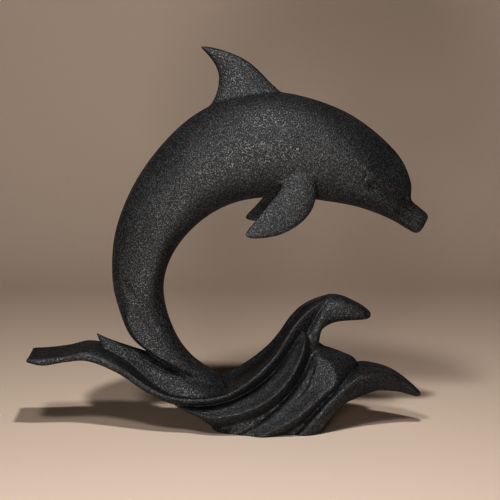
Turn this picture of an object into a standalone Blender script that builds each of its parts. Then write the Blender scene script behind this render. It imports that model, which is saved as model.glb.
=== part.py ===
# A cast statuette of a dolphin leaping over a breaking wave, all in one solid.
# The form is drawn on a sheet where the statue is 230 high: x runs towards the beak, z up from
# the floor, and y out from the middle plane, which mirrors the left side onto the right.
# Every drawn place is a share of the statue's height. The foot it stands on has its own sizes.

import math

import bmesh
import bpy
import numpy as np

# driving dimensions, in metres
statueHeight = 0.230
footLength = 0.068
footDepth = 0.044
footHeight = 0.016
footTaper = 0.86
finEdge = 0.0018
creaseDepth = 0.0012
eyeSize = 0.0026
surfaceStep = 0.0007
facetCount = 9800

drawnHeight = 230.0
scale = statueHeight / drawnHeight

# dolphin, from the beak to where the tail sinks into the wave
# back x, back z, belly x, belly z, half width, widest share from back to belly, back power, belly power
dolphinSections = [
    (95.7, 128.5, 91.5, 120.3, 2.5, 0.50, 2.2, 2.2),
    (95.0, 130.5, 88.8, 119.0, 5.5, 0.50, 2.3, 2.3),
    (90.7, 134.3, 83.0, 121.7, 7.3, 0.56, 2.2, 2.4),
    (85.6, 139.0, 76.0, 126.0, 9.3, 0.62, 2.0, 2.4),
    (85.3, 148.5, 67.0, 130.3, 14.0, 0.62, 1.5, 2.3),
    (79.8, 162.5, 56.0, 134.4, 19.5, 0.52, 1.25, 2.4),
    (68.3, 175.5, 45.3, 137.0, 23.0, 0.42, 1.25, 2.5),
    (49.5, 189.5, 33.0, 139.0, 25.5, 0.40, 1.5, 2.5),
    (27.5, 198.7, 18.0, 140.8, 26.5, 0.46, 1.85, 2.5),
    (4.0, 203.3, 0.0, 141.2, 27.0, 0.50, 2.0, 2.5),
    (-19.6, 200.6, -16.8, 138.8, 26.5, 0.52, 2.0, 2.5),
    (-42.7, 190.4, -31.7, 132.5, 24.5, 0.56, 2.0, 2.4),
    (-64.2, 170.8, -45.5, 121.8, 22.0, 0.62, 2.0, 2.4),
    (-81.7, 145.1, -56.7, 107.3, 19.0, 0.70, 2.0, 2.3),
    (-92.0, 117.0, -62.3, 92.0, 17.0, 0.76, 2.0, 2.2),
    (-93.4, 89.0, -62.5, 78.0, 15.5, 0.62, 2.0, 2.4),
    (-89.0, 69.8, -58.9, 64.0, 14.5, 0.18, 1.5, 3.0),
    (-82.6, 55.0, -53.2, 51.9, 14.5, 0.22, 1.25, 2.9),
    (-69.5, 43.8, -45.7, 42.2, 14.8, 0.35, 1.25, 2.8),
    (-58.0, 36.0, -40.5, 38.2, 13.0, 0.42, 1.3, 2.6),
    (-47.0, 29.0, -35.5, 35.4, 10.5, 0.46, 1.8, 2.4),
    (-38.5, 22.0, -29.5, 31.0, 7.5, 0.50, 2.0, 2.2),
    (-31.0, 15.0, -24.5, 24.5, 4.0, 0.50, 2.0, 2.0),
]

# blade of the tail that stands up out of the wave's left arm, same columns
bladeSections = [
    (-104.0, 57.8, -103.2, 55.6, 0.8, 0.5, 2.6, 2.6),
    (-99.3, 55.3, -99.7, 48.0, 2.2, 0.6, 2.6, 2.6),
    (-92.0, 52.4, -93.5, 43.0, 3.0, 0.6, 2.6, 2.6),
    (-83.6, 49.5, -85.0, 35.5, 4.5, 0.7, 2.4, 2.6),
    (-74.0, 46.2, -75.3, 27.0, 9.0, 0.8, 2.0, 2.6),
    (-62.4, 41.0, -62.6, 20.0, 15.0, 0.85, 1.9, 2.6),
    (-50.0, 35.5, -48.4, 18.0, 20.0, 0.88, 1.8, 2.6),
    (-39.0, 31.0, -38.0, 17.0, 21.0, 0.88, 1.8, 2.6),
    (-29.0, 26.0, -29.0, 17.0, 16.0, 0.80, 1.8, 2.4),
    (-22.0, 20.5, -22.0, 17.0, 8.0, 0.60, 2.0, 2.0),
]

# solid heart of the crest, out to the tip of its hook, same columns
hookSections = [
    (8.0, 44.0, 18.0, 28.0, 10.0, 0.5, 3.0, 3.0),
    (16.0, 52.0, 24.0, 38.0, 11.5, 0.5, 3.0, 3.0),
    (23.0, 60.0, 29.3, 47.0, 12.0, 0.5, 3.0, 3.0),
    (27.5, 68.0, 31.2, 54.5, 11.5, 0.5, 3.0, 3.0),
    (31.5, 75.0, 32.5, 60.5, 11.5, 0.5, 3.0, 3.0),
    (37.6, 80.8, 39.0, 64.6, 10.5, 0.5, 3.0, 3.0),
    (44.7, 80.2, 45.4, 65.8, 10.0, 0.5, 3.0, 3.0),
    (51.5, 77.3, 51.8, 66.2, 9.0, 0.5, 3.0, 3.0),
    (57.6, 74.0, 57.4, 66.4, 7.5, 0.5, 2.6, 2.6),
    (60.8, 71.6, 60.4, 66.7, 5.0, 0.5, 2.2, 2.2),
    (62.2, 70.0, 61.9, 67.4, 2.2, 0.5, 2.0, 2.0),
]

# fins: leading x, leading z, trailing x, trailing z, distance out from the middle plane, half thickness
dorsalSections = [
    (19.0, 193.0, -43.0, 184.0, 0.0, 7.5),
    (4.0, 206.8, -32.0, 200.2, 0.0, 5.0),
    (-12.5, 221.6, -29.3, 213.0, 0.0, 3.7),
    (-21.5, 226.0, -31.1, 218.5, 0.0, 3.1),
    (-30.0, 228.7, -34.0, 223.0, 0.0, 2.5),
    (-35.7, 229.9, -37.0, 226.5, 0.0, 1.9),
    (-38.8, 230.0, -39.2, 228.8, 0.0, 1.2),
    (-39.6, 229.8, -39.8, 229.2, 0.0, 0.8),
]
flipperSections = [
    (25.0, 163.5, 12.5, 164.5, 19.0, 3.6),
    (27.2, 157.5, 10.5, 159.5, 21.2, 4.2),
    (28.2, 149.5, 8.0, 153.0, 22.6, 4.2),
    (27.5, 142.8, 5.0, 147.0, 23.8, 3.9),
    (25.3, 136.8, 1.3, 141.8, 25.2, 3.5),
    (21.2, 131.4, -2.2, 137.5, 26.8, 3.1),
    (15.3, 126.8, -5.8, 133.2, 28.4, 2.7),
    (7.7, 123.2, -9.0, 129.3, 30.3, 2.3),
    (-1.2, 121.4, -12.0, 126.2, 32.0, 1.8),
    (-9.2, 121.2, -13.4, 124.0, 33.0, 1.3),
    (-12.2, 121.8, -13.7, 123.1, 33.4, 0.9),
]

# rim of the wave, from the square end of the left arm up to the crest
# rim x, rim z, rim y, dip of the trough inside it, height of its edge, drop to the crease
# under it, y of that crease, drop to the underside in the middle plane
rimStations = [
    (-144.7, 45.0, 15.0, 0.8, 1.8, 3.0, 8.0, 4.0),
    (-136.2, 45.3, 15.5, 1.5, 4.1, 4.4, 9.0, 5.0),
    (-122.0, 47.0, 15.5, 1.5, 3.6, 4.2, 9.0, 4.8),
    (-108.6, 49.5, 16.0, -0.8, 5.4, 5.4, 10.0, 6.0),
    (-89.3, 42.0, 20.0, -1.4, 3.6, 5.3, 11.0, 6.2),
    (-69.0, 29.2, 24.0, 0.4, 2.7, 5.7, 16.0, 7.5),
    (-58.3, 25.3, 26.0, 2.2, 2.3, 6.4, 18.5, 10.7),
    (-42.0, 24.0, 28.0, 3.0, 1.9, 7.2, 17.5, 16.5),
    (-26.5, 26.6, 28.5, 4.2, 1.9, 7.6, 16.0, 17.8),
    (-14.9, 32.4, 26.5, 5.1, 1.9, 8.6, 14.5, 18.9),
    (1.6, 46.5, 23.0, 4.8, 1.8, 8.6, 12.5, 19.0),
    (8.2, 55.5, 20.5, 4.7, 1.8, 8.2, 11.5, 17.5),
    (14.1, 64.8, 17.5, 4.8, 1.8, 8.4, 10.5, 17.0),
    (20.7, 72.0, 14.5, 3.6, 1.7, 8.2, 9.0, 14.6),
    (28.6, 77.2, 10.5, 2.4, 1.7, 6.6, 7.0, 11.6),
    (37.7, 81.0, 6.0, 1.5, 1.6, 4.7, 5.0, 8.5),
]

# two folds under the rim, each one from its crease over its lip down to the next crease, as x, z, y
upperFold = [
    ((-59.0, 21.0, 19.0), (-56.0, 18.6, 22.0), (-53.0, 15.0, 17.0)),
    ((-48.5, 17.4, 19.5), (-45.0, 15.0, 25.5), (-42.5, 10.0, 18.0)),
    ((-37.5, 16.4, 20.0), (-33.5, 12.5, 28.5), (-32.0, 4.0, 17.5)),
    ((-15.0, 22.9, 18.0), (-6.7, 19.4, 30.5), (-4.2, 9.0, 16.5)),
    ((-3.6, 29.8, 17.0), (4.6, 27.0, 29.5), (8.4, 18.8, 16.0)),
    ((6.0, 39.2, 15.5), (14.0, 37.6, 27.0), (18.6, 31.0, 14.0)),
    ((18.5, 57.3, 12.5), (21.8, 56.0, 20.0), (26.0, 53.0, 9.5)),
    ((20.9, 61.3, 11.5), (21.6, 60.8, 14.0), (24.0, 59.0, 8.5)),
]
lowerFold = [
    ((-26.0, -3.0, 18.0), (-8.0, -2.4, 27.0), (4.2, -5.6, 18.0)),
    ((-15.0, 3.0, 17.0), (5.8, 5.8, 29.0), (13.8, -1.2, 17.0)),
    ((-3.2, 10.2, 16.4), (17.0, 12.6, 30.0), (23.0, 7.2, 17.0)),
    ((17.0, 29.0, 14.5), (33.8, 27.6, 28.0), (38.3, 22.7, 16.0)),
    ((22.8, 38.0, 13.0), (40.0, 32.5, 25.0), (46.0, 29.0, 13.0)),
    ((26.0, 45.0, 11.5), (39.8, 37.5, 22.0), (53.6, 35.5, 3.0)),
    ((28.6, 49.2, 10.0), (36.5, 43.5, 17.5), (51.2, 42.2, 2.0)),
    ((31.0, 50.5, 7.0), (34.0, 47.5, 10.0), (42.5, 46.8, 1.0)),
]

# right crest: upper edge, ridge and lower edge as x, z, y, then the underside as x, z
rightCrest = [
    ((9.6, -4.6, 17.0), (14.2, -2.5, 23.0), (27.0, -2.0, 22.0), (33.3, -8.0)),
    ((18.0, 2.2, 17.0), (21.3, 3.7, 24.0), (33.0, 6.2, 22.0), (36.3, 0.4)),
    ((26.9, 12.8, 17.5), (30.2, 13.5, 25.0), (40.0, 14.6, 20.5), (42.4, 8.3)),
    ((34.1, 21.3, 17.5), (37.4, 21.6, 24.5), (46.0, 20.2, 18.5), (48.4, 14.0)),
    ((40.6, 27.9, 17.0), (44.0, 27.2, 22.5), (51.5, 25.0, 17.0), (53.9, 16.5)),
    ((47.3, 33.2, 15.0), (50.6, 32.2, 20.5), (56.8, 29.6, 16.5), (59.9, 19.0)),
    ((54.4, 36.5, 8.0), (57.8, 35.6, 17.0), (62.6, 32.4, 15.5), (66.6, 21.2)),
    ((63.7, 36.7, 4.0), (66.5, 35.4, 13.5), (69.5, 32.8, 13.0), (73.9, 21.2)),
    ((73.2, 34.5, 3.0), (75.2, 33.2, 10.0), (76.5, 30.6, 9.5), (80.0, 20.6)),
    ((81.6, 30.4, 2.0), (82.7, 29.0, 6.5), (83.4, 26.8, 6.5), (86.0, 19.0)),
    ((88.3, 25.2, 1.4), (88.9, 24.0, 4.4), (89.2, 22.0, 4.4), (90.2, 17.8)),
    ((92.0, 21.8, 1.0), (92.3, 21.0, 2.6), (92.4, 19.6, 2.6), (92.2, 17.9)),
    ((93.2, 20.2, 0.6), (93.3, 19.8, 1.2), (93.3, 19.2, 1.2), (93.1, 18.6)),
]

# soft and sharp lines cut into the sides, as x, z along the line, then half width and depth
cutLines = [
    ([(56.0, 153.0), (63.0, 148.6), (70.5, 145.0), (78.0, 142.4), (88.0, 138.6)], 5.5, 2.3),
    ([(73.0, 136.0), (79.5, 131.0), (86.0, 127.0), (92.0, 125.0), (99.0, 125.0)], 1.6, 0.7),
    ([(-89.5, 97.0), (-84.0, 88.0), (-77.5, 79.0), (-70.0, 66.0), (-64.0, 58.0)], 3.4, 0.5),
    ([(28.2, 46.0), (26.6, 40.0), (24.2, 33.5), (20.5, 27.5), (16.0, 22.0)], 2.4, 0.8),
]
eyePlace = (56.2, 154.8)
eyeSlant = math.radians(66)


def spread(rows, count):
    """Read a smooth curve through rows of numbers at evenly spaced places."""
    rows = np.array(rows, dtype=float)
    gaps = np.linalg.norm(np.diff(rows, axis=0), axis=1)
    place = np.concatenate([[0.0], np.cumsum(np.maximum(gaps, 1e-6) ** 0.7)])
    slope = np.empty_like(rows)
    run = np.diff(place)[:, None]
    rise = np.diff(rows, axis=0) / run
    slope[0] = rise[0]
    slope[-1] = rise[-1]
    slope[1:-1] = (rise[:-1] * run[1:] + rise[1:] * run[:-1]) / (run[:-1] + run[1:])
    wanted = np.linspace(0.0, place[-1], count)
    piece = np.clip(np.searchsorted(place, wanted, side="right") - 1, 0, len(rows) - 2)
    width = (place[piece + 1] - place[piece])[:, None]
    t = ((wanted - place[piece])[:, None]) / width
    return (
        (2 * t**3 - 3 * t**2 + 1) * rows[piece]
        + (t**3 - 2 * t**2 + t) * width * slope[piece]
        + (3 * t**2 - 2 * t**3) * rows[piece + 1]
        + (t**3 - t**2) * width * slope[piece + 1]
    )


def skin(mesh, rings):
    """Add a closed skin over rings of points, capped at both ends."""
    loops = [[mesh.verts.new(point) for point in ring] for ring in rings]
    size = len(loops[0])
    for first, second in zip(loops, loops[1:]):
        for k in range(size):
            following = (k + 1) % size
            mesh.faces.new((first[k], first[following], second[following], second[k]))
    for ring in (loops[0], loops[-1]):
        centre = mesh.verts.new(sum((vert.co for vert in ring[1:]), ring[0].co.copy()) / size)
        for k in range(size):
            mesh.faces.new((ring[k], ring[(k + 1) % size], centre))


def ovalRing(row, count=96):
    """Ring between a back point and a belly point, fuller or flatter by its two powers."""
    backX, backZ, bellyX, bellyZ, halfWidth, widest, backPower, bellyPower = row
    ring = []
    for k in range(count):
        angle = 2 * math.pi * k / count
        along = math.cos(angle)
        across = math.sin(angle)
        power = backPower if along > 0 else bellyPower
        along = math.copysign(abs(along) ** (2 / power), along)
        across = math.copysign(abs(across) ** (2 / power), across)
        share = widest * (1 - along) if along > 0 else widest - along * (1 - widest)
        x = backX + (bellyX - backX) * share
        z = backZ + (bellyZ - backZ) * share
        ring.append((x, -halfWidth * across, z))
    return ring


def ovalBody(mesh, sections, count):
    skin(mesh, [ovalRing(row) for row in spread(sections, count)])


def fin(mesh, sections, count, side=1, across=24):
    """Blade that is full near its leading edge, with both edges rounded to finEdge."""
    edgeRadius = finEdge / 2 / scale
    rings = []
    for leadX, leadZ, trailX, trailZ, out, thickness in spread(sections, count):
        ring = []
        for k in range(2 * across):
            angle = math.pi * k / across
            share = (1 - math.cos(angle)) / 2
            inside = min(share, 1 - share) * math.hypot(trailX - leadX, trailZ - leadZ)
            inside = min(inside, edgeRadius)
            swell = thickness * (1.1 * math.sqrt(share) * (1 - share) ** 0.8 + 0.5 * math.sin(angle))
            swell = max(swell, math.sqrt(inside * (2 * edgeRadius - inside)))
            swell = swell if k < across else -swell
            x = leadX + (trailX - leadX) * share
            z = leadZ + (trailZ - leadZ) * share
            ring.append((x, -side * (out + swell), z))
        rings.append(ring)
    skin(mesh, rings)


def foldedBody(mesh, stations, corners, count, finesse=8):
    """Skin through stations of (x, z, y) points, mirrored across the middle plane.
    The curve across a station is smooth but for its corners."""
    points = len(stations[0])
    stations = spread([np.ravel(station) for station in stations], count).reshape(count, points, 3)
    ends = [0, *corners, points - 1]
    rings = []
    for station in stations:
        half = [station[:1]]
        for first, last in zip(ends, ends[1:]):
            half.append(spread(station[first : last + 1], finesse * (last - first) + 1)[1:])
        half = np.vstack(half)
        half[0, 2] = 0.0
        half[-1, 2] = 0.0
        half[1:-1, 2] = np.maximum(half[1:-1, 2], 0.05)
        left = [(x, -y, z) for x, z, y in half]
        right = [(x, y, z) for x, z, y in half[-2:0:-1]]
        rings.append(left + right)
    skin(mesh, rings)


def waveRim(mesh):
    """Gutter with a thin lip on each side, and a step under the lip."""
    rim = np.array([row[:2] for row in rimStations])
    heading = np.gradient(rim, axis=0)
    heading /= np.linalg.norm(heading, axis=1)[:, None]
    stations = []
    for row, (alongX, alongZ) in zip(rimStations, heading):
        x, z, y, dip, lip, drop, creaseY, underside = row
        down = np.array([alongZ, -alongX])

        def place(distance, out):
            return (x + down[0] * distance, z + down[1] * distance, out)

        stations.append(
            (
                place(dip, 0.0),
                place(dip * 0.86, y * 0.50),
                place(dip * 0.50, y * 0.84),
                place(dip * 0.12, y - 1.5),
                place(0.0, y - 0.7),
                place(0.5, y),
                place(lip, y - 0.1),
                place(drop, creaseY),
                place(underside, 0.0),
            )
        )
    foldedBody(mesh, stations, (), 150)


def fold(mesh, rows, corners=(1, 7)):
    """Hollowed face from a crease out to a lip, then a steep step to the next crease."""
    stations = []
    for crease, lip, foot in rows:
        crease = np.array(crease)
        lip = np.array(lip)
        foot = np.array(foot)

        def between(start, share, swell):
            point = start + (lip - start) * share
            point[2] = start[2] + (lip[2] - start[2]) * swell
            return point

        inner = crease * (1, 1, 0)
        under = foot + (foot - lip) * foot[2] / 20
        under[2] = 0.0
        face = [between(crease, *shares) for shares in ((0.13, 0.42), (0.55, 0.68), (0.89, 0.95))]
        stations.append((inner, crease, *face, lip, between(foot, 0.88, 0.95), foot, under))
    foldedBody(mesh, stations, corners, 110)


def rightCrestBody(mesh):
    stations = []
    for upper, ridge, lower, under in rightCrest:
        inner = (upper[0] + 0.4, upper[1] - 0.6, 0.0)
        stations.append((inner, upper, ridge, lower, (*under, 0.0)))
    foldedBody(mesh, stations, (), 90)


def footBody(mesh):
    """Pad under the wave with rounded corners, a little narrower at its top."""
    rings = []
    for rise, taper in ((-0.2, 1.0), (0.4, 1.0), (0.8, 0.5 + footTaper / 2), (1.2, footTaper)):
        ring = []
        for k in range(64):
            angle = 2 * math.pi * k / 64
            x = math.copysign(abs(math.cos(angle)) ** 0.6, math.cos(angle))
            y = math.copysign(abs(math.sin(angle)) ** 0.6, math.sin(angle))
            size = np.array([x * footLength, y * footDepth]) * taper / 2 / scale
            ring.append((*size, rise * footHeight / scale))
        rings.append(ring)
    skin(mesh, rings)


def evaluatedMesh(body):
    graph = bpy.context.evaluated_depsgraph_get()
    return bpy.data.meshes.new_from_object(body.evaluated_get(graph))


def applied(body, name, kind, **settings):
    """Put one modifier on the body and keep its result."""
    modifier = body.modifiers.new(name, kind)
    for key, value in settings.items():
        setattr(modifier, key, value)
    result = evaluatedMesh(body)
    body.modifiers.clear()
    body.data = result


def readVerts(mesh):
    flat = np.empty(len(mesh.vertices) * 3)
    mesh.vertices.foreach_get("co", flat)
    return flat.reshape(-1, 3)


def writeVerts(mesh, verts):
    mesh.vertices.foreach_set("co", verts.ravel())
    mesh.update()


def relaxed(mesh, rounds, share=None):
    """Round the small steps off a skin without shrinking it."""
    verts = readVerts(mesh)
    flat = np.empty(len(mesh.edges) * 2, dtype=int)
    mesh.edges.foreach_get("vertices", flat)
    start, end = flat.reshape(-1, 2).T
    links = np.bincount(flat, minlength=len(verts))[:, None]
    share = 1.0 if share is None else share[:, None]
    for amount in (0.55, -0.28) * rounds:
        total = np.zeros_like(verts)
        for axis in range(3):
            total[:, axis] = np.bincount(start, verts[end, axis], len(verts))
            total[:, axis] += np.bincount(end, verts[start, axis], len(verts))
        verts = verts + amount * share * (total / links - verts)
    writeVerts(mesh, verts)


def lineDistance(places, line, count=24):
    """Distance of each place from a line drawn on the side view, and where along it, from 0 to 1."""
    line = spread(line, count)
    nearest = np.full(len(places), np.inf)
    along = np.zeros(len(places))
    for k, (first, second) in enumerate(zip(line, line[1:])):
        step = second - first
        share = np.clip((places - first) @ step / (step @ step), 0.0, 1.0)
        gap = np.linalg.norm(places - first - share[:, None] * step, axis=1)
        closer = gap < nearest
        nearest[closer] = gap[closer]
        along[closer] = (k + share[closer]) / (count - 1)
    return nearest, along


def carve(mesh):
    """Press the lines and the eyes into both sides."""
    verts = readVerts(mesh)
    normals = np.empty(len(verts) * 3)
    mesh.vertices.foreach_get("normal", normals)
    normals = normals.reshape(-1, 3)
    places = verts[:, [0, 2]] / scale
    facing = np.clip((np.abs(normals[:, 1]) - 0.15) / 0.35, 0.0, 1.0)
    sunk = np.zeros(len(verts))
    for line, halfWidth, depth in cutLines:
        gap, along = lineDistance(places, line)
        share = np.clip(1 - gap / halfWidth, 0.0, 1.0)
        share *= np.clip(along / 0.2 + 0.1, 0.0, 1.0) * np.clip((1 - along) / 0.15 + 0.1, 0.0, 1.0)
        sunk += depth * creaseDepth * share * share * (3 - 2 * share)
    fromEye = (places - eyePlace) * scale / (eyeSize / 2)
    high = fromEye @ (math.cos(eyeSlant), math.sin(eyeSlant))
    wide = fromEye @ (math.sin(eyeSlant), -math.cos(eyeSlant))
    sunk += 0.7 * creaseDepth * np.exp(-((high / 2.0) ** 2) - wide**2)
    writeVerts(mesh, verts - normals * (sunk * facing)[:, None])


def softened(mesh, rounds):
    """Run the fins' roots into the body with soft fillets."""
    verts = readVerts(mesh) / scale
    places = verts[:, [0, 2]]
    roots = [
        ([(-40.0, 192.0), (-20.0, 203.0), (0.0, 206.0), (14.0, 201.0)], 6.0),
        ([(6.0, 150.0), (14.0, 156.0), (22.0, 156.0)], 6.0),
        ([(-64.0, 30.0), (-52.0, 25.0), (-38.0, 25.0)], 4.0),
        ([(-44.0, 32.0), (-34.0, 28.0), (-26.0, 23.0)], 6.0),
        ([(29.0, 57.0), (30.8, 51.8), (37.0, 48.5)], 5.0),
    ]
    share = np.zeros(len(verts))
    for line, reach in roots:
        gap = lineDistance(places, line)[0]
        share = np.maximum(share, np.clip(1.6 - gap / reach, 0.0, 1.0))
    relaxed(mesh, rounds, share)


def cutAtFloor(body):
    """Cut the casting flat where it stands."""
    mesh = bmesh.new()
    mesh.from_mesh(body.data)
    everything = mesh.verts[:] + mesh.edges[:] + mesh.faces[:]
    cut = bmesh.ops.bisect_plane(
        mesh, geom=everything, dist=1e-6, plane_co=(0, 0, 0), plane_no=(0, 0, -1), clear_outer=True
    )
    rim = [item for item in cut["geom_cut"] if isinstance(item, bmesh.types.BMEdge)]
    bmesh.ops.holes_fill(mesh, edges=rim)
    for vert in mesh.verts:
        if abs(vert.co.z) < 1e-5:
            vert.co.z = 0.0
    bmesh.ops.dissolve_degenerate(mesh, edges=mesh.edges[:], dist=1e-5)
    bmesh.ops.triangulate(mesh, faces=mesh.faces[:])
    mesh.to_mesh(body.data)
    mesh.free()


def outerSkin(body):
    """Keep the outside of the casting, without pockets shut up between the forms."""
    mesh = bmesh.new()
    mesh.from_mesh(body.data)
    waiting = set(mesh.verts)
    islands = []
    while waiting:
        edge = [waiting.pop()]
        island = list(edge)
        while edge:
            near = [link.other_vert(vert) for vert in edge for link in vert.link_edges]
            edge = [vert for vert in dict.fromkeys(near) if vert in waiting]
            waiting.difference_update(edge)
            island += edge
        islands.append(island)
    islands.sort(key=len)
    inner = [vert for island in islands[:-1] for vert in island]
    bmesh.ops.delete(mesh, geom=inner, context="VERTS")
    mesh.to_mesh(body.data)
    mesh.free()


def castMaterial():
    material = bpy.data.materials.new("black cast resin")
    material.use_nodes = True
    shader = material.node_tree.nodes["Principled BSDF"]
    shader.inputs["Base Color"].default_value = (0.022, 0.022, 0.023, 1.0)
    shader.inputs["Roughness"].default_value = 0.75
    shader.inputs["Metallic"].default_value = 0.0
    return material


for existing in list(bpy.data.objects):
    bpy.data.objects.remove(existing)

forms = bmesh.new()
ovalBody(forms, dolphinSections, 240)
ovalBody(forms, bladeSections, 80)
ovalBody(forms, hookSections, 80)
fin(forms, dorsalSections, 60)
fin(forms, flipperSections, 60)
fin(forms, flipperSections, 60, side=-1)
waveRim(forms)
fold(forms, upperFold)
fold(forms, lowerFold)
rightCrestBody(forms)
footBody(forms)
bmesh.ops.recalc_face_normals(forms, faces=forms.faces[:])
bmesh.ops.scale(forms, vec=(scale, scale, scale), verts=forms.verts[:])

statueMesh = bpy.data.meshes.new("dolphin_statue")
forms.to_mesh(statueMesh)
forms.free()
statue = bpy.data.objects.new("dolphin_statue", statueMesh)
bpy.context.scene.collection.objects.link(statue)

applied(statue, "one skin", "REMESH", mode="VOXEL", voxel_size=surfaceStep)
outerSkin(statue)
relaxed(statue.data, 8)
softened(statue.data, 40)
carve(statue.data)
faceTotal = 2 * len(statue.data.polygons)
applied(statue, "facets", "DECIMATE", ratio=facetCount / faceTotal)
cutAtFloor(statue)
statue.data.shade_smooth()
statue.data.set_sharp_from_angle(angle=math.radians(50))
statue.data.materials.clear()
statue.data.materials.append(castMaterial())
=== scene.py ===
# Looks for a black cast statuette of a dolphin leaping over a breaking wave.
# The statue's forms are drawn on a sheet where it is 230 high: x runs towards the beak, z up from
# the floor, and y out from the middle plane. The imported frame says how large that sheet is.

import math

import bmesh
import bpy
import numpy as np
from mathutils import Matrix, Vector


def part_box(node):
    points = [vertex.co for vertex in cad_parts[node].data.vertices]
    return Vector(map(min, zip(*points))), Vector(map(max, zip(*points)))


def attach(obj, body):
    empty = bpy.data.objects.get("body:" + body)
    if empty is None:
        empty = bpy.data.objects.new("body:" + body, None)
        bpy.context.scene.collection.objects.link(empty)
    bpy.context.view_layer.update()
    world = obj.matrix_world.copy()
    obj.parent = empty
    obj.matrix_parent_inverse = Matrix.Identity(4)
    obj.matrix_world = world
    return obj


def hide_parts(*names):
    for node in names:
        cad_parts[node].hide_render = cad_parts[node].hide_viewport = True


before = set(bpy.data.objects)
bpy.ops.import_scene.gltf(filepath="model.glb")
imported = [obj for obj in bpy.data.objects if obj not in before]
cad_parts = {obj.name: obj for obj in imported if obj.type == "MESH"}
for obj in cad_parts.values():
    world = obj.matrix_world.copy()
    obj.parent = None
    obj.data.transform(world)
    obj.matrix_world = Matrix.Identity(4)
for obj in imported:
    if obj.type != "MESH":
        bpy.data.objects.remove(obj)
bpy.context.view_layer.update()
print("stage: frame loaded")

casting = {
    "node": "dolphin_statue",
    "drawnHeight": 230.0,
    "footLength": 0.068,
    "footDepth": 0.044,
    "footHeight": 0.016,
    "footTaper": 0.86,
    "finEdge": 0.0018,
    "creaseDepth": 0.0012,
    "eyeSize": 0.0026,
    "skinStep": 0.00045,
    "faceLimit": 190000,
    "sandSize": 0.0016,
    "sandRise": 0.00009,
    "bodyRings": 300,
    "limbRings": 120,
    "finRings": 90,
    "skinRounds": 10,
    "rootRounds": 60,
    "lineRounds": 2,
}
low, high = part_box(casting["node"])
scale = (high[2] - low[2]) / casting["drawnHeight"]

# dolphin, from the beak to where the tail sinks into the wave
# back x, back z, belly x, belly z, half width, widest share from back to belly, back power, belly power
dolphinSections = [
    (95.7, 128.5, 91.5, 120.3, 2.5, 0.50, 2.2, 2.2),
    (95.0, 130.5, 88.8, 119.0, 5.5, 0.50, 2.3, 2.3),
    (90.7, 134.3, 83.0, 121.7, 7.3, 0.56, 2.2, 2.4),
    (85.6, 139.0, 76.0, 126.0, 9.3, 0.62, 2.0, 2.4),
    (85.3, 148.5, 67.0, 130.3, 14.0, 0.62, 1.5, 2.3),
    (79.8, 162.5, 56.0, 134.4, 19.5, 0.52, 1.25, 2.4),
    (68.3, 175.5, 45.3, 137.0, 23.0, 0.42, 1.25, 2.5),
    (49.5, 189.5, 33.0, 139.0, 25.5, 0.40, 1.5, 2.5),
    (27.5, 198.7, 18.0, 140.8, 26.5, 0.46, 1.85, 2.5),
    (4.0, 203.3, 0.0, 141.2, 27.0, 0.50, 2.0, 2.5),
    (-19.6, 200.6, -16.8, 138.8, 26.5, 0.52, 2.0, 2.5),
    (-42.7, 190.4, -31.7, 132.5, 24.5, 0.56, 2.0, 2.4),
    (-64.2, 170.8, -45.5, 121.8, 22.0, 0.62, 2.0, 2.4),
    (-81.7, 145.1, -56.7, 107.3, 19.0, 0.70, 2.0, 2.3),
    (-92.0, 117.0, -62.3, 92.0, 17.0, 0.76, 2.0, 2.2),
    (-93.4, 89.0, -62.5, 78.0, 15.5, 0.62, 2.0, 2.4),
    (-89.0, 69.8, -58.9, 64.0, 14.5, 0.18, 1.5, 3.0),
    (-82.6, 55.0, -53.2, 51.9, 14.5, 0.22, 1.25, 2.9),
    (-69.5, 43.8, -45.7, 42.2, 14.8, 0.35, 1.25, 2.8),
    (-58.0, 36.0, -40.5, 38.2, 13.0, 0.42, 1.3, 2.6),
    (-47.0, 29.0, -35.5, 35.4, 10.5, 0.46, 1.8, 2.4),
    (-38.5, 22.0, -29.5, 31.0, 7.5, 0.50, 2.0, 2.2),
    (-31.0, 15.0, -24.5, 24.5, 4.0, 0.50, 2.0, 2.0),
]

# blade of the tail that stands up out of the wave's left arm, same columns
bladeSections = [
    (-104.0, 57.8, -103.2, 55.6, 0.8, 0.5, 2.6, 2.6),
    (-99.3, 55.3, -99.7, 48.0, 2.2, 0.6, 2.6, 2.6),
    (-92.0, 52.4, -93.5, 43.0, 3.0, 0.6, 2.6, 2.6),
    (-83.6, 49.5, -85.0, 35.5, 4.5, 0.7, 2.4, 2.6),
    (-74.0, 46.2, -75.3, 27.0, 9.0, 0.8, 2.0, 2.6),
    (-62.4, 41.0, -62.6, 20.0, 15.0, 0.85, 1.9, 2.6),
    (-50.0, 35.5, -48.4, 18.0, 20.0, 0.88, 1.8, 2.6),
    (-39.0, 31.0, -38.0, 17.0, 21.0, 0.88, 1.8, 2.6),
    (-29.0, 26.0, -29.0, 17.0, 16.0, 0.80, 1.8, 2.4),
    (-22.0, 20.5, -22.0, 17.0, 8.0, 0.60, 2.0, 2.0),
]

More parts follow.
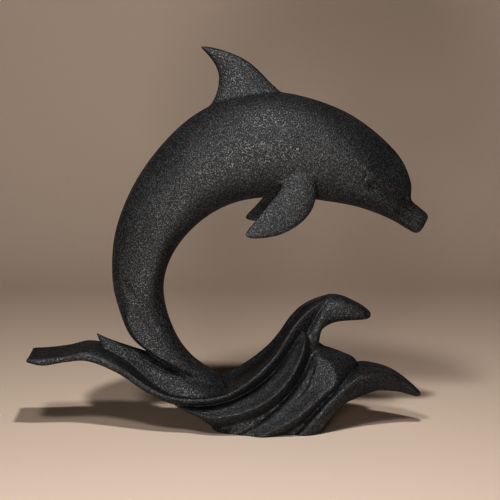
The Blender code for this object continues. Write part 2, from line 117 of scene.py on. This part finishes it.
# solid heart of the crest, out to the tip of its hook, same columns
hookSections = [
    (8.0, 44.0, 18.0, 28.0, 10.0, 0.5, 3.0, 3.0),
    (16.0, 52.0, 24.0, 38.0, 11.5, 0.5, 3.0, 3.0),
    (23.0, 60.0, 29.3, 47.0, 12.0, 0.5, 3.0, 3.0),
    (27.5, 68.0, 31.2, 54.5, 11.5, 0.5, 3.0, 3.0),
    (31.5, 75.0, 32.5, 60.5, 11.5, 0.5, 3.0, 3.0),
    (37.6, 80.8, 39.0, 64.6, 10.5, 0.5, 3.0, 3.0),
    (44.7, 80.2, 45.4, 65.8, 10.0, 0.5, 3.0, 3.0),
    (51.5, 77.3, 51.8, 66.2, 9.0, 0.5, 3.0, 3.0),
    (57.6, 74.0, 57.4, 66.4, 7.5, 0.5, 2.6, 2.6),
    (60.8, 71.6, 60.4, 66.7, 5.0, 0.5, 2.2, 2.2),
    (62.2, 70.0, 61.9, 67.4, 2.2, 0.5, 2.0, 2.0),
]

# fins: leading x, leading z, trailing x, trailing z, distance out from the middle plane, half thickness
dorsalSections = [
    (19.0, 193.0, -43.0, 184.0, 0.0, 7.5),
    (4.0, 206.8, -32.0, 200.2, 0.0, 5.0),
    (-12.5, 221.6, -29.3, 213.0, 0.0, 3.7),
    (-21.5, 226.0, -31.1, 218.5, 0.0, 3.1),
    (-30.0, 228.7, -34.0, 223.0, 0.0, 2.5),
    (-35.7, 229.9, -37.0, 226.5, 0.0, 1.9),
    (-38.8, 230.0, -39.2, 228.8, 0.0, 1.2),
    (-39.6, 229.8, -39.8, 229.2, 0.0, 0.8),
]
flipperSections = [
    (25.0, 163.5, 12.5, 164.5, 19.0, 3.6),
    (27.2, 157.5, 10.5, 159.5, 21.2, 4.2),
    (28.2, 149.5, 8.0, 153.0, 22.6, 4.2),
    (27.5, 142.8, 5.0, 147.0, 23.8, 3.9),
    (25.3, 136.8, 1.3, 141.8, 25.2, 3.5),
    (21.2, 131.4, -2.2, 137.5, 26.8, 3.1),
    (15.3, 126.8, -5.8, 133.2, 28.4, 2.7),
    (7.7, 123.2, -9.0, 129.3, 30.3, 2.3),
    (-1.2, 121.4, -12.0, 126.2, 32.0, 1.8),
    (-9.2, 121.2, -13.4, 124.0, 33.0, 1.3),
    (-12.2, 121.8, -13.7, 123.1, 33.4, 0.9),
]

# rim of the wave, from the square end of the left arm up to the crest
# rim x, rim z, rim y, dip of the trough inside it, height of its edge, drop to the crease
# under it, y of that crease, drop to the underside in the middle plane
rimStations = [
    (-144.7, 45.0, 15.0, 0.8, 1.8, 3.0, 8.0, 4.0),
    (-136.2, 45.3, 15.5, 1.5, 4.1, 4.4, 9.0, 5.0),
    (-122.0, 47.0, 15.5, 1.5, 3.6, 4.2, 9.0, 4.8),
    (-108.6, 49.5, 16.0, -0.8, 5.4, 5.4, 10.0, 6.0),
    (-89.3, 42.0, 20.0, -1.4, 3.6, 5.3, 11.0, 6.2),
    (-69.0, 29.2, 24.0, 0.4, 2.7, 5.7, 16.0, 7.5),
    (-58.3, 25.3, 26.0, 2.2, 2.3, 6.4, 18.5, 10.7),
    (-42.0, 24.0, 28.0, 3.0, 1.9, 7.2, 17.5, 16.5),
    (-26.5, 26.6, 28.5, 4.2, 1.9, 7.6, 16.0, 17.8),
    (-14.9, 32.4, 26.5, 5.1, 1.9, 8.6, 14.5, 18.9),
    (1.6, 46.5, 23.0, 4.8, 1.8, 8.6, 12.5, 19.0),
    (8.2, 55.5, 20.5, 4.7, 1.8, 8.2, 11.5, 17.5),
    (14.1, 64.8, 17.5, 4.8, 1.8, 8.4, 10.5, 17.0),
    (20.7, 72.0, 14.5, 3.6, 1.7, 8.2, 9.0, 14.6),
    (28.6, 77.2, 10.5, 2.4, 1.7, 6.6, 7.0, 11.6),
    (37.7, 81.0, 6.0, 1.5, 1.6, 4.7, 5.0, 8.5),
]

# two folds under the rim, each one from its crease over its lip down to the next crease, as x, z, y
upperFold = [
    ((-59.0, 21.0, 19.0), (-56.0, 18.6, 22.0), (-53.0, 15.0, 17.0)),
    ((-48.5, 17.4, 19.5), (-45.0, 15.0, 25.5), (-42.5, 10.0, 18.0)),
    ((-37.5, 16.4, 20.0), (-33.5, 12.5, 28.5), (-32.0, 4.0, 17.5)),
    ((-15.0, 22.9, 18.0), (-6.7, 19.4, 30.5), (-4.2, 9.0, 16.5)),
    ((-3.6, 29.8, 17.0), (4.6, 27.0, 29.5), (8.4, 18.8, 16.0)),
    ((6.0, 39.2, 15.5), (14.0, 37.6, 27.0), (18.6, 31.0, 14.0)),
    ((18.5, 57.3, 12.5), (21.8, 56.0, 20.0), (26.0, 53.0, 9.5)),
    ((20.9, 61.3, 11.5), (21.6, 60.8, 14.0), (24.0, 59.0, 8.5)),
]
lowerFold = [
    ((-26.0, -3.0, 18.0), (-8.0, -2.4, 27.0), (4.2, -5.6, 18.0)),
    ((-15.0, 3.0, 17.0), (5.8, 5.8, 29.0), (13.8, -1.2, 17.0)),
    ((-3.2, 10.2, 16.4), (17.0, 12.6, 30.0), (23.0, 7.2, 17.0)),
    ((17.0, 29.0, 14.5), (33.8, 27.6, 28.0), (38.3, 22.7, 16.0)),
    ((22.8, 38.0, 13.0), (40.0, 32.5, 25.0), (46.0, 29.0, 13.0)),
    ((26.0, 45.0, 11.5), (39.8, 37.5, 22.0), (53.6, 35.5, 3.0)),
    ((28.6, 49.2, 10.0), (36.5, 43.5, 17.5), (51.2, 42.2, 2.0)),
    ((31.0, 50.5, 7.0), (34.0, 47.5, 10.0), (42.5, 46.8, 1.0)),
]

# right crest: upper edge, ridge and lower edge as x, z, y, then the underside as x, z
rightCrest = [
    ((9.6, -4.6, 17.0), (14.2, -2.5, 23.0), (27.0, -2.0, 22.0), (33.3, -8.0)),
    ((18.0, 2.2, 17.0), (21.3, 3.7, 24.0), (33.0, 6.2, 22.0), (36.3, 0.4)),
    ((26.9, 12.8, 17.5), (30.2, 13.5, 25.0), (40.0, 14.6, 20.5), (42.4, 8.3)),
    ((34.1, 21.3, 17.5), (37.4, 21.6, 24.5), (46.0, 20.2, 18.5), (48.4, 14.0)),
    ((40.6, 27.9, 17.0), (44.0, 27.2, 22.5), (51.5, 25.0, 17.0), (53.9, 16.5)),
    ((47.3, 33.2, 15.0), (50.6, 32.2, 20.5), (56.8, 29.6, 16.5), (59.9, 19.0)),
    ((54.4, 36.5, 8.0), (57.8, 35.6, 17.0), (62.6, 32.4, 15.5), (66.6, 21.2)),
    ((63.7, 36.7, 4.0), (66.5, 35.4, 13.5), (69.5, 32.8, 13.0), (73.9, 21.2)),
    ((73.2, 34.5, 3.0), (75.2, 33.2, 10.0), (76.5, 30.6, 9.5), (80.0, 20.6)),
    ((81.6, 30.4, 2.0), (82.7, 29.0, 6.5), (83.4, 26.8, 6.5), (86.0, 19.0)),
    ((88.3, 25.2, 1.4), (88.9, 24.0, 4.4), (89.2, 22.0, 4.4), (90.2, 17.8)),
    ((92.0, 21.8, 1.0), (92.3, 21.0, 2.6), (92.4, 19.6, 2.6), (92.2, 17.9)),
    ((93.2, 20.2, 0.6), (93.3, 19.8, 1.2), (93.3, 19.2, 1.2), (93.1, 18.6)),
]

# soft and sharp lines cut into the sides, as x, z along the line, then half width and depth
cutLines = [
    ([(56.0, 153.0), (63.0, 148.6), (70.5, 145.0), (78.0, 142.4), (88.0, 138.6)], 5.5, 2.3),
    ([(73.0, 136.0), (79.5, 131.0), (86.0, 127.0), (92.0, 125.0), (99.0, 125.0)], 1.6, 0.7),
    ([(-89.5, 97.0), (-84.0, 88.0), (-77.5, 79.0), (-70.0, 66.0), (-64.0, 58.0)], 3.4, 0.5),
    ([(28.2, 46.0), (26.6, 40.0), (24.2, 33.5), (20.5, 27.5), (16.0, 22.0)], 2.4, 0.8),
]
eyePlace = (56.2, 154.8)
eyeSlant = math.radians(66)


# Read a smooth curve through rows of numbers at evenly spaced places
def spread(rows, count):
    rows = np.array(rows, dtype=float)
    gaps = np.linalg.norm(np.diff(rows, axis=0), axis=1)
    place = np.concatenate([[0.0], np.cumsum(np.maximum(gaps, 1e-6) ** 0.7)])
    slope = np.empty_like(rows)
    run = np.diff(place)[:, None]
    rise = np.diff(rows, axis=0) / run
    slope[0] = rise[0]
    slope[-1] = rise[-1]
    slope[1:-1] = (rise[:-1] * run[1:] + rise[1:] * run[:-1]) / (run[:-1] + run[1:])
    wanted = np.linspace(0.0, place[-1], count)
    piece = np.clip(np.searchsorted(place, wanted, side="right") - 1, 0, len(rows) - 2)
    width = (place[piece + 1] - place[piece])[:, None]
    t = ((wanted - place[piece])[:, None]) / width
    return (
        (2 * t**3 - 3 * t**2 + 1) * rows[piece]
        + (t**3 - 2 * t**2 + t) * width * slope[piece]
        + (3 * t**2 - 2 * t**3) * rows[piece + 1]
        + (t**3 - t**2) * width * slope[piece + 1]
    )


# Add a closed skin over rings of points, capped at both ends
def skin(mesh, rings):
    loops = [[mesh.verts.new(point) for point in ring] for ring in rings]
    size = len(loops[0])
    for first, second in zip(loops, loops[1:]):
        for k in range(size):
            following = (k + 1) % size
            mesh.faces.new((first[k], first[following], second[following], second[k]))
    for ring in (loops[0], loops[-1]):
        centre = mesh.verts.new(sum((vert.co for vert in ring[1:]), ring[0].co.copy()) / size)
        for k in range(size):
            mesh.faces.new((ring[k], ring[(k + 1) % size], centre))


# Ring between a back point and a belly point, fuller or flatter by its two powers
def ovalRing(row, count=96):
    backX, backZ, bellyX, bellyZ, halfWidth, widest, backPower, bellyPower = row
    ring = []
    for k in range(count):
        angle = 2 * math.pi * k / count
        along = math.cos(angle)
        across = math.sin(angle)
        power = backPower if along > 0 else bellyPower
        along = math.copysign(abs(along) ** (2 / power), along)
        across = math.copysign(abs(across) ** (2 / power), across)
        share = widest * (1 - along) if along > 0 else widest - along * (1 - widest)
        x = backX + (bellyX - backX) * share
        z = backZ + (bellyZ - backZ) * share
        ring.append((x, -halfWidth * across, z))
    return ring


def ovalBody(mesh, sections, count):
    skin(mesh, [ovalRing(row) for row in spread(sections, count)])


# Blade that is full near its leading edge, with both edges rounded
def fin(mesh, sections, count, side=1, across=24):
    edgeRadius = casting["finEdge"] / 2 / scale
    rings = []
    for leadX, leadZ, trailX, trailZ, out, thickness in spread(sections, count):
        ring = []
        for k in range(2 * across):
            angle = math.pi * k / across
            share = (1 - math.cos(angle)) / 2
            inside = min(share, 1 - share) * math.hypot(trailX - leadX, trailZ - leadZ)
            inside = min(inside, edgeRadius)
            swell = thickness * (1.1 * math.sqrt(share) * (1 - share) ** 0.8 + 0.5 * math.sin(angle))
            swell = max(swell, math.sqrt(inside * (2 * edgeRadius - inside)))
            swell = swell if k < across else -swell
            x = leadX + (trailX - leadX) * share
            z = leadZ + (trailZ - leadZ) * share
            ring.append((x, -side * (out + swell), z))
        rings.append(ring)
    skin(mesh, rings)


# Skin through stations of (x, z, y) points, mirrored across the middle plane.
# The curve across a station is smooth but for its corners
def foldedBody(mesh, stations, corners, count, finesse=8):
    points = len(stations[0])
    stations = spread([np.ravel(station) for station in stations], count).reshape(count, points, 3)
    ends = [0, *corners, points - 1]
    rings = []
    for station in stations:
        half = [station[:1]]
        for first, last in zip(ends, ends[1:]):
            half.append(spread(station[first : last + 1], finesse * (last - first) + 1)[1:])
        half = np.vstack(half)
        half[0, 2] = 0.0
        half[-1, 2] = 0.0
        half[1:-1, 2] = np.maximum(half[1:-1, 2], 0.05)
        left = [(x, -y, z) for x, z, y in half]
        right = [(x, y, z) for x, z, y in half[-2:0:-1]]
        rings.append(left + right)
    skin(mesh, rings)


# Gutter with a thin lip on each side, and a step under the lip
def waveRim(mesh):
    rim = np.array([row[:2] for row in rimStations])
    heading = np.gradient(rim, axis=0)
    heading /= np.linalg.norm(heading, axis=1)[:, None]
    stations = []
    for row, (alongX, alongZ) in zip(rimStations, heading):
        x, z, y, dip, lip, drop, creaseY, underside = row
        down = np.array([alongZ, -alongX])

        def place(distance, out):
            return (x + down[0] * distance, z + down[1] * distance, out)

        stations.append(
            (
                place(dip, 0.0),
                place(dip * 0.86, y * 0.50),
                place(dip * 0.50, y * 0.84),
                place(dip * 0.12, y - 1.5),
                place(0.0, y - 0.7),
                place(0.5, y),
                place(lip, y - 0.1),
                place(drop, creaseY),
                place(underside, 0.0),
            )
        )
    foldedBody(mesh, stations, (), 150)


# Hollowed face from a crease out to a lip, then a steep step to the next crease
def fold(mesh, rows, corners=(1, 7)):
    stations = []
    for crease, lip, foot in rows:
        crease = np.array(crease)
        lip = np.array(lip)
        foot = np.array(foot)

        def between(start, share, swell):
            point = start + (lip - start) * share
            point[2] = start[2] + (lip[2] - start[2]) * swell
            return point

        inner = crease * (1, 1, 0)
        under = foot + (foot - lip) * foot[2] / 20
        under[2] = 0.0
        face = [between(crease, *shares) for shares in ((0.13, 0.42), (0.55, 0.68), (0.89, 0.95))]
        stations.append((inner, crease, *face, lip, between(foot, 0.88, 0.95), foot, under))
    foldedBody(mesh, stations, corners, 110)


def rightCrestBody(mesh):
    stations = []
    for upper, ridge, lower, under in rightCrest:
        inner = (upper[0] + 0.4, upper[1] - 0.6, 0.0)
        stations.append((inner, upper, ridge, lower, (*under, 0.0)))
    foldedBody(mesh, stations, (), 90)


# Pad under the wave with rounded corners, a little narrower at its top
def footBody(mesh):
    rings = []
    middleTaper = 0.5 + casting["footTaper"] / 2
    levels = ((-0.2, 1.0), (0.4, 1.0), (0.8, middleTaper), (1.2, casting["footTaper"]))
    for rise, taper in levels:
        ring = []
        for k in range(64):
            angle = 2 * math.pi * k / 64
            x = math.copysign(abs(math.cos(angle)) ** 0.6, math.cos(angle))
            y = math.copysign(abs(math.sin(angle)) ** 0.6, math.sin(angle))
            size = np.array([x * casting["footLength"], y * casting["footDepth"]]) * taper / 2 / scale
            ring.append((*size, rise * casting["footHeight"] / scale))
        rings.append(ring)
    skin(mesh, rings)


def evaluatedMesh(body):
    graph = bpy.context.evaluated_depsgraph_get()
    return bpy.data.meshes.new_from_object(body.evaluated_get(graph))


# Put one modifier on the body and keep its result
def applied(body, name, kind, **settings):
    modifier = body.modifiers.new(name, kind)
    for key, value in settings.items():
        setattr(modifier, key, value)
    result = evaluatedMesh(body)
    body.modifiers.clear()
    body.data = result


def readVerts(mesh):
    flat = np.empty(len(mesh.vertices) * 3)
    mesh.vertices.foreach_get("co", flat)
    return flat.reshape(-1, 3)


def writeVerts(mesh, verts):
    mesh.vertices.foreach_set("co", verts.ravel())
    mesh.update()


# Round the small steps off a skin without shrinking it
def relaxed(mesh, rounds, share=None):
    verts = readVerts(mesh)
    flat = np.empty(len(mesh.edges) * 2, dtype=int)
    mesh.edges.foreach_get("vertices", flat)
    start, end = flat.reshape(-1, 2).T
    links = np.bincount(flat, minlength=len(verts))[:, None]
    share = 1.0 if share is None else share[:, None]
    for amount in (0.55, -0.28) * rounds:
        total = np.zeros_like(verts)
        for axis in range(3):
            total[:, axis] = np.bincount(start, verts[end, axis], len(verts))
            total[:, axis] += np.bincount(end, verts[start, axis], len(verts))
        verts = verts + amount * share * (total / links - verts)
    writeVerts(mesh, verts)


# Distance of each place from a line drawn on the side view, and where along it, from 0 to 1
def lineDistance(places, line, count=24):
    line = spread(line, count)
    nearest = np.full(len(places), np.inf)
    along = np.zeros(len(places))
    for k, (first, second) in enumerate(zip(line, line[1:])):
        step = second - first
        share = np.clip((places - first) @ step / (step @ step), 0.0, 1.0)
        gap = np.linalg.norm(places - first - share[:, None] * step, axis=1)
        closer = gap < nearest
        nearest[closer] = gap[closer]
        along[closer] = (k + share[closer]) / (count - 1)
    return nearest, along


# Press the lines and the eyes into both sides
def carve(mesh):
    verts = readVerts(mesh)
    normals = np.empty(len(verts) * 3)
    mesh.vertices.foreach_get("normal", normals)
    normals = normals.reshape(-1, 3)
    places = verts[:, [0, 2]] / scale
    facing = np.clip((np.abs(normals[:, 1]) - 0.15) / 0.35, 0.0, 1.0)
    sunk = np.zeros(len(verts))
    for line, halfWidth, depth in cutLines:
        gap, along = lineDistance(places, line)
        share = np.clip(1 - gap / halfWidth, 0.0, 1.0)
        share *= np.clip(along / 0.2 + 0.1, 0.0, 1.0) * np.clip((1 - along) / 0.15 + 0.1, 0.0, 1.0)
        sunk += depth * casting["creaseDepth"] * share * share * (3 - 2 * share)
    fromEye = (places - eyePlace) * scale / (casting["eyeSize"] / 2)
    high = fromEye @ (math.cos(eyeSlant), math.sin(eyeSlant))
    wide = fromEye @ (math.sin(eyeSlant), -math.cos(eyeSlant))
    sunk += 0.7 * casting["creaseDepth"] * np.exp(-((high / 2.0) ** 2) - wide**2)
    writeVerts(mesh, verts - normals * (sunk * facing)[:, None])


# Run the fins' roots into the body with soft fillets
def softened(mesh, rounds):
    verts = readVerts(mesh) / scale
    places = verts[:, [0, 2]]
    roots = [
        ([(-40.0, 192.0), (-20.0, 203.0), (0.0, 206.0), (14.0, 201.0)], 6.0),
        ([(6.0, 150.0), (14.0, 156.0), (22.0, 156.0)], 6.0),
        ([(-64.0, 30.0), (-52.0, 25.0), (-38.0, 25.0)], 4.0),
        ([(-44.0, 32.0), (-34.0, 28.0), (-26.0, 23.0)], 6.0),
        ([(29.0, 57.0), (30.8, 51.8), (37.0, 48.5)], 5.0),
    ]
    share = np.zeros(len(verts))
    for line, reach in roots:
        gap = lineDistance(places, line)[0]
        share = np.maximum(share, np.clip(1.6 - gap / reach, 0.0, 1.0))
    relaxed(mesh, rounds, share)


# Cut the casting flat where it stands
def cutAtFloor(body):
    mesh = bmesh.new()
    mesh.from_mesh(body.data)
    everything = mesh.verts[:] + mesh.edges[:] + mesh.faces[:]
    cut = bmesh.ops.bisect_plane(
        mesh, geom=everything, dist=1e-6, plane_co=(0, 0, 0), plane_no=(0, 0, -1), clear_outer=True
    )
    rim = [item for item in cut["geom_cut"] if isinstance(item, bmesh.types.BMEdge)]
    bmesh.ops.holes_fill(mesh, edges=rim)
    for vert in mesh.verts:
        if abs(vert.co.z) < 1e-5:
            vert.co.z = 0.0
    bmesh.ops.dissolve_degenerate(mesh, edges=mesh.edges[:], dist=1e-5)
    bmesh.ops.triangulate(mesh, faces=mesh.faces[:])
    mesh.to_mesh(body.data)
    mesh.free()


# Keep the outside of the casting, without pockets shut up between the forms
def outerSkin(body):
    mesh = bmesh.new()
    mesh.from_mesh(body.data)
    waiting = set(mesh.verts)
    islands = []
    while waiting:
        edge = [waiting.pop()]
        island = list(edge)
        while edge:
            near = [link.other_vert(vert) for vert in edge for link in vert.link_edges]
            edge = [vert for vert in dict.fromkeys(near) if vert in waiting]
            waiting.difference_update(edge)
            island += edge
        islands.append(island)
    islands.sort(key=len)
    inner = [vert for island in islands[:-1] for vert in island]
    bmesh.ops.delete(mesh, geom=inner, context="VERTS")
    mesh.to_mesh(body.data)
    mesh.free()


# Finish: black resin with a sandy skin, whose grains catch the light one by one
resin = {
    "pitColor": (0.001, 0.001, 0.00105, 1.0),
    "skinColor": (0.008, 0.008, 0.0083, 1.0),
    "grainColor": (0.070, 0.072, 0.076, 1.0),
    "pitRoughness": 0.72,
    "grainRoughness": 0.40,
    "sheen": 0.72,
    "grainSize": 0.00085,
    "fineShare": 0.45,
    "fineGrainSize": 0.00055,
    "patchSize": 0.022,
    "patchShare": 0.10,
    "grainRise": 0.00019,
    "pitLevel": 0.36,
    "grainLevel": 0.66,
    "noiseRoughness": 0.55,
}


def link(tree, source, target):
    tree.links.new(source, target)


def noise(tree, place, size, detail):
    node = tree.nodes.new("ShaderNodeTexNoise")
    node.inputs["Scale"].default_value = 1.0 / size
    node.inputs["Detail"].default_value = detail
    node.inputs["Roughness"].default_value = resin["noiseRoughness"]
    link(tree, place, node.inputs["Vector"])
    return node.outputs["Fac"]


def blended(tree, share, first, second):
    node = tree.nodes.new("ShaderNodeMix")
    node.data_type = "FLOAT"
    node.inputs["Factor"].default_value = share
    link(tree, first, node.inputs[2])
    link(tree, second, node.inputs[3])
    return node.outputs[0]


def grainGroup():
    # A group that gives one value: 0 in the pits of the sandy skin, 1 on top of its grains
    tree = bpy.data.node_groups.new("sandGrain", "ShaderNodeTree")
    tree.interface.new_socket("Grain", in_out="OUTPUT", socket_type="NodeSocketFloat")
    place = tree.nodes.new("ShaderNodeTexCoord").outputs["Object"]
    coarse = noise(tree, place, resin["grainSize"], 1.0)
    fine = noise(tree, place, resin["fineGrainSize"], 0.0)
    patches = noise(tree, place, resin["patchSize"], 3.0)
    grains = blended(tree, resin["fineShare"], coarse, fine)
    uneven = blended(tree, resin["patchShare"], grains, patches)
    sharpen = tree.nodes.new("ShaderNodeMapRange")
    sharpen.interpolation_type = "SMOOTHSTEP"
    sharpen.inputs["From Min"].default_value = resin["pitLevel"]
    sharpen.inputs["From Max"].default_value = resin["grainLevel"]
    link(tree, uneven, sharpen.inputs["Value"])
    result = tree.nodes.new("NodeGroupOutput")
    link(tree, sharpen.outputs["Result"], result.inputs["Grain"])
    return tree


def sandMaterial():
    material = bpy.data.materials.new("blackSandResin")
    material.use_nodes = True
    tree = material.node_tree
    shader = tree.nodes["Principled BSDF"]
    shader.inputs["Specular IOR Level"].default_value = resin["sheen"]
    shader.inputs["Diffuse Roughness"].default_value = 1.0
    group = tree.nodes.new("ShaderNodeGroup")
    group.node_tree = grainGroup()
    grain = group.outputs["Grain"]

    tint = tree.nodes.new("ShaderNodeValToRGB")
    tint.color_ramp.elements[0].color = resin["pitColor"]
    tint.color_ramp.elements[1].color = resin["grainColor"]
    middle = tint.color_ramp.elements.new(0.5)
    middle.color = resin["skinColor"]
    link(tree, grain, tint.inputs["Fac"])
    link(tree, tint.outputs["Color"], shader.inputs["Base Color"])

    rough = tree.nodes.new("ShaderNodeMapRange")
    rough.inputs["To Min"].default_value = resin["pitRoughness"]
    rough.inputs["To Max"].default_value = resin["grainRoughness"]
    link(tree, grain, rough.inputs["Value"])
    link(tree, rough.outputs["Result"], shader.inputs["Roughness"])

    bump = tree.nodes.new("ShaderNodeBump")
    bump.inputs["Strength"].default_value = 1.0
    bump.inputs["Distance"].default_value = resin["grainRise"]
    link(tree, grain, bump.inputs["Height"])
    link(tree, bump.outputs["Normal"], shader.inputs["Normal"])
    return material


forms = bmesh.new()
ovalBody(forms, dolphinSections, casting["bodyRings"])
ovalBody(forms, bladeSections, casting["limbRings"])
ovalBody(forms, hookSections, casting["limbRings"])
fin(forms, dorsalSections, casting["finRings"])
fin(forms, flipperSections, casting["finRings"])
fin(forms, flipperSections, casting["finRings"], side=-1)
waveRim(forms)
fold(forms, upperFold)
fold(forms, lowerFold)
rightCrestBody(forms)
footBody(forms)
bmesh.ops.recalc_face_normals(forms, faces=forms.faces[:])
bmesh.ops.scale(forms, vec=(scale, scale, scale), verts=forms.verts[:])
statueMesh = bpy.data.meshes.new("dolphin_casting")
forms.to_mesh(statueMesh)
forms.free()
statue = bpy.data.objects.new("dolphin_casting", statueMesh)
bpy.context.scene.collection.objects.link(statue)
print("stage: forms drawn")

applied(statue, "oneSkin", "REMESH", mode="VOXEL", voxel_size=casting["skinStep"])
outerSkin(statue)
relaxed(statue.data, casting["skinRounds"])
softened(statue.data, casting["rootRounds"])
carve(statue.data)
relaxed(statue.data, casting["lineRounds"])
faceTotal = 2 * len(statue.data.polygons)
applied(statue, "facets", "DECIMATE", ratio=casting["faceLimit"] / faceTotal)
sand = bpy.data.textures.new("sand", "CLOUDS")
sand.noise_scale = casting["sandSize"]
sand.noise_depth = 1
applied(
    statue,
    "sand",
    "DISPLACE",
    texture=sand,
    texture_coords="LOCAL",
    strength=casting["sandRise"],
    mid_level=0.5,
)
cutAtFloor(statue)
statue.data.shade_smooth()
statue.data.materials.clear()
statue.data.materials.append(sandMaterial())
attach(statue, "root")
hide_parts(casting["node"])
print("stage: statue cast,", len(statue.data.polygons), "triangles")

sweep = {
    "width": 4.0,
    "front": -1.6,
    "bend": 0.42,
    "bendRadius": 0.55,
    "height": 1.6,
    "bendSteps": 24,
    "color": (0.62, 0.52, 0.44, 1.0),
    "roughness": 0.95,
    "sheen": 0.1,
}


def studioSweep():
    # One sheet: flat floor, a quarter bend, and a wall
    profile = [(sweep["front"], 0.0), (sweep["bend"], 0.0)]
    for k in range(1, sweep["bendSteps"] + 1):
        angle = math.pi / 2 * k / sweep["bendSteps"]
        profile.append(
            (
                sweep["bend"] + sweep["bendRadius"] * math.sin(angle),
                sweep["bendRadius"] * (1 - math.cos(angle)),
            )
        )
    profile.append((sweep["bend"] + sweep["bendRadius"], sweep["height"]))
    mesh = bmesh.new()
    rows = []
    for y, z in profile:
        rows.append([mesh.verts.new((x, y, z)) for x in (-sweep["width"] / 2, sweep["width"] / 2)])
    for first, second in zip(rows, rows[1:]):
        mesh.faces.new((first[0], first[1], second[1], second[0]))
    data = bpy.data.meshes.new("studio_sweep")
    mesh.to_mesh(data)
    mesh.free()
    data.shade_smooth()
    return bpy.data.objects.new("studio_sweep", data)


def paperMaterial():
    material = bpy.data.materials.new("palePaper")
    material.use_nodes = True
    shader = material.node_tree.nodes["Principled BSDF"]
    shader.inputs["Base Color"].default_value = sweep["color"]
    shader.inputs["Roughness"].default_value = sweep["roughness"]
    shader.inputs["Specular IOR Level"].default_value = sweep["sheen"]
    return material


paper = studioSweep()
paper.data.materials.append(paperMaterial())
bpy.context.scene.collection.objects.link(paper)
print("stage: floor laid")

# Lights round the statue: the angle to the right of the camera's side, the height above the
# floor's level, the distance, the size of the disk and its power
light = {
    "aim": (-0.01, 0.0, 0.11),
    "lamps": {
        "high": {"turn": -16, "rise": 48, "distance": 1.0, "size": 0.16, "power": 2.6},
        "key": {"turn": 8, "rise": 61, "distance": 0.68, "size": 0.05, "power": 2.2},
        "front": {"turn": -6, "rise": -3, "distance": 1.0, "size": 0.16, "power": 3.9},
        "frontLeft": {"turn": -10, "rise": 5, "distance": 1.0, "size": 0.20, "power": 2.7},
        "left": {"turn": -40, "rise": -2, "distance": 1.0, "size": 0.16, "power": 0.6},
    },
    "worldColor": (1.0, 0.97, 0.93, 1.0),
    "worldStrength": 0.004,
}


def studioLamp(name, lamp):
    data = bpy.data.lights.new(name, "AREA")
    data.shape = "DISK"
    data.size = lamp["size"]
    data.energy = lamp["power"]
    turn = math.radians(lamp["turn"])
    rise = math.radians(lamp["rise"])
    away = Vector((math.sin(turn) * math.cos(rise), -math.cos(turn) * math.cos(rise), math.sin(rise)))
    holder = bpy.data.objects.new(name, data)
    holder.location = Vector(light["aim"]) + away * lamp["distance"]
    holder.rotation_euler = (-away).to_track_quat("-Z", "Y").to_euler()
    bpy.context.scene.collection.objects.link(holder)


for name, lamp in light["lamps"].items():
    studioLamp(name, lamp)
world = bpy.data.worlds.new("studio")
world.use_nodes = True
world.node_tree.nodes["Background"].inputs["Color"].default_value = light["worldColor"]
world.node_tree.nodes["Background"].inputs["Strength"].default_value = light["worldStrength"]
bpy.context.scene.world = world
bpy.context.scene.view_settings.view_transform = "Standard"
bpy.context.scene.view_settings.look = "Very High Contrast"
print("stage: lights set")

camera = {
    "elevation": math.radians(10),
    "distance": 0.950,
    "aim": (-0.0108, 0.0, 0.1085),
    "sensor": 36.0,
    "lens": 114.0,
}


def studioCamera():
    data = bpy.data.cameras.new("camera")
    data.sensor_width = camera["sensor"]
    data.lens = camera["lens"]
    holder = bpy.data.objects.new("camera", data)
    heading = Vector((0.0, math.cos(camera["elevation"]), -math.sin(camera["elevation"])))
    holder.location = Vector(camera["aim"]) - heading * camera["distance"]
    holder.rotation_euler = heading.to_track_quat("-Z", "Y").to_euler()
    bpy.context.scene.collection.objects.link(holder)
    bpy.context.scene.camera = holder


studioCamera()
print("stage: camera set")
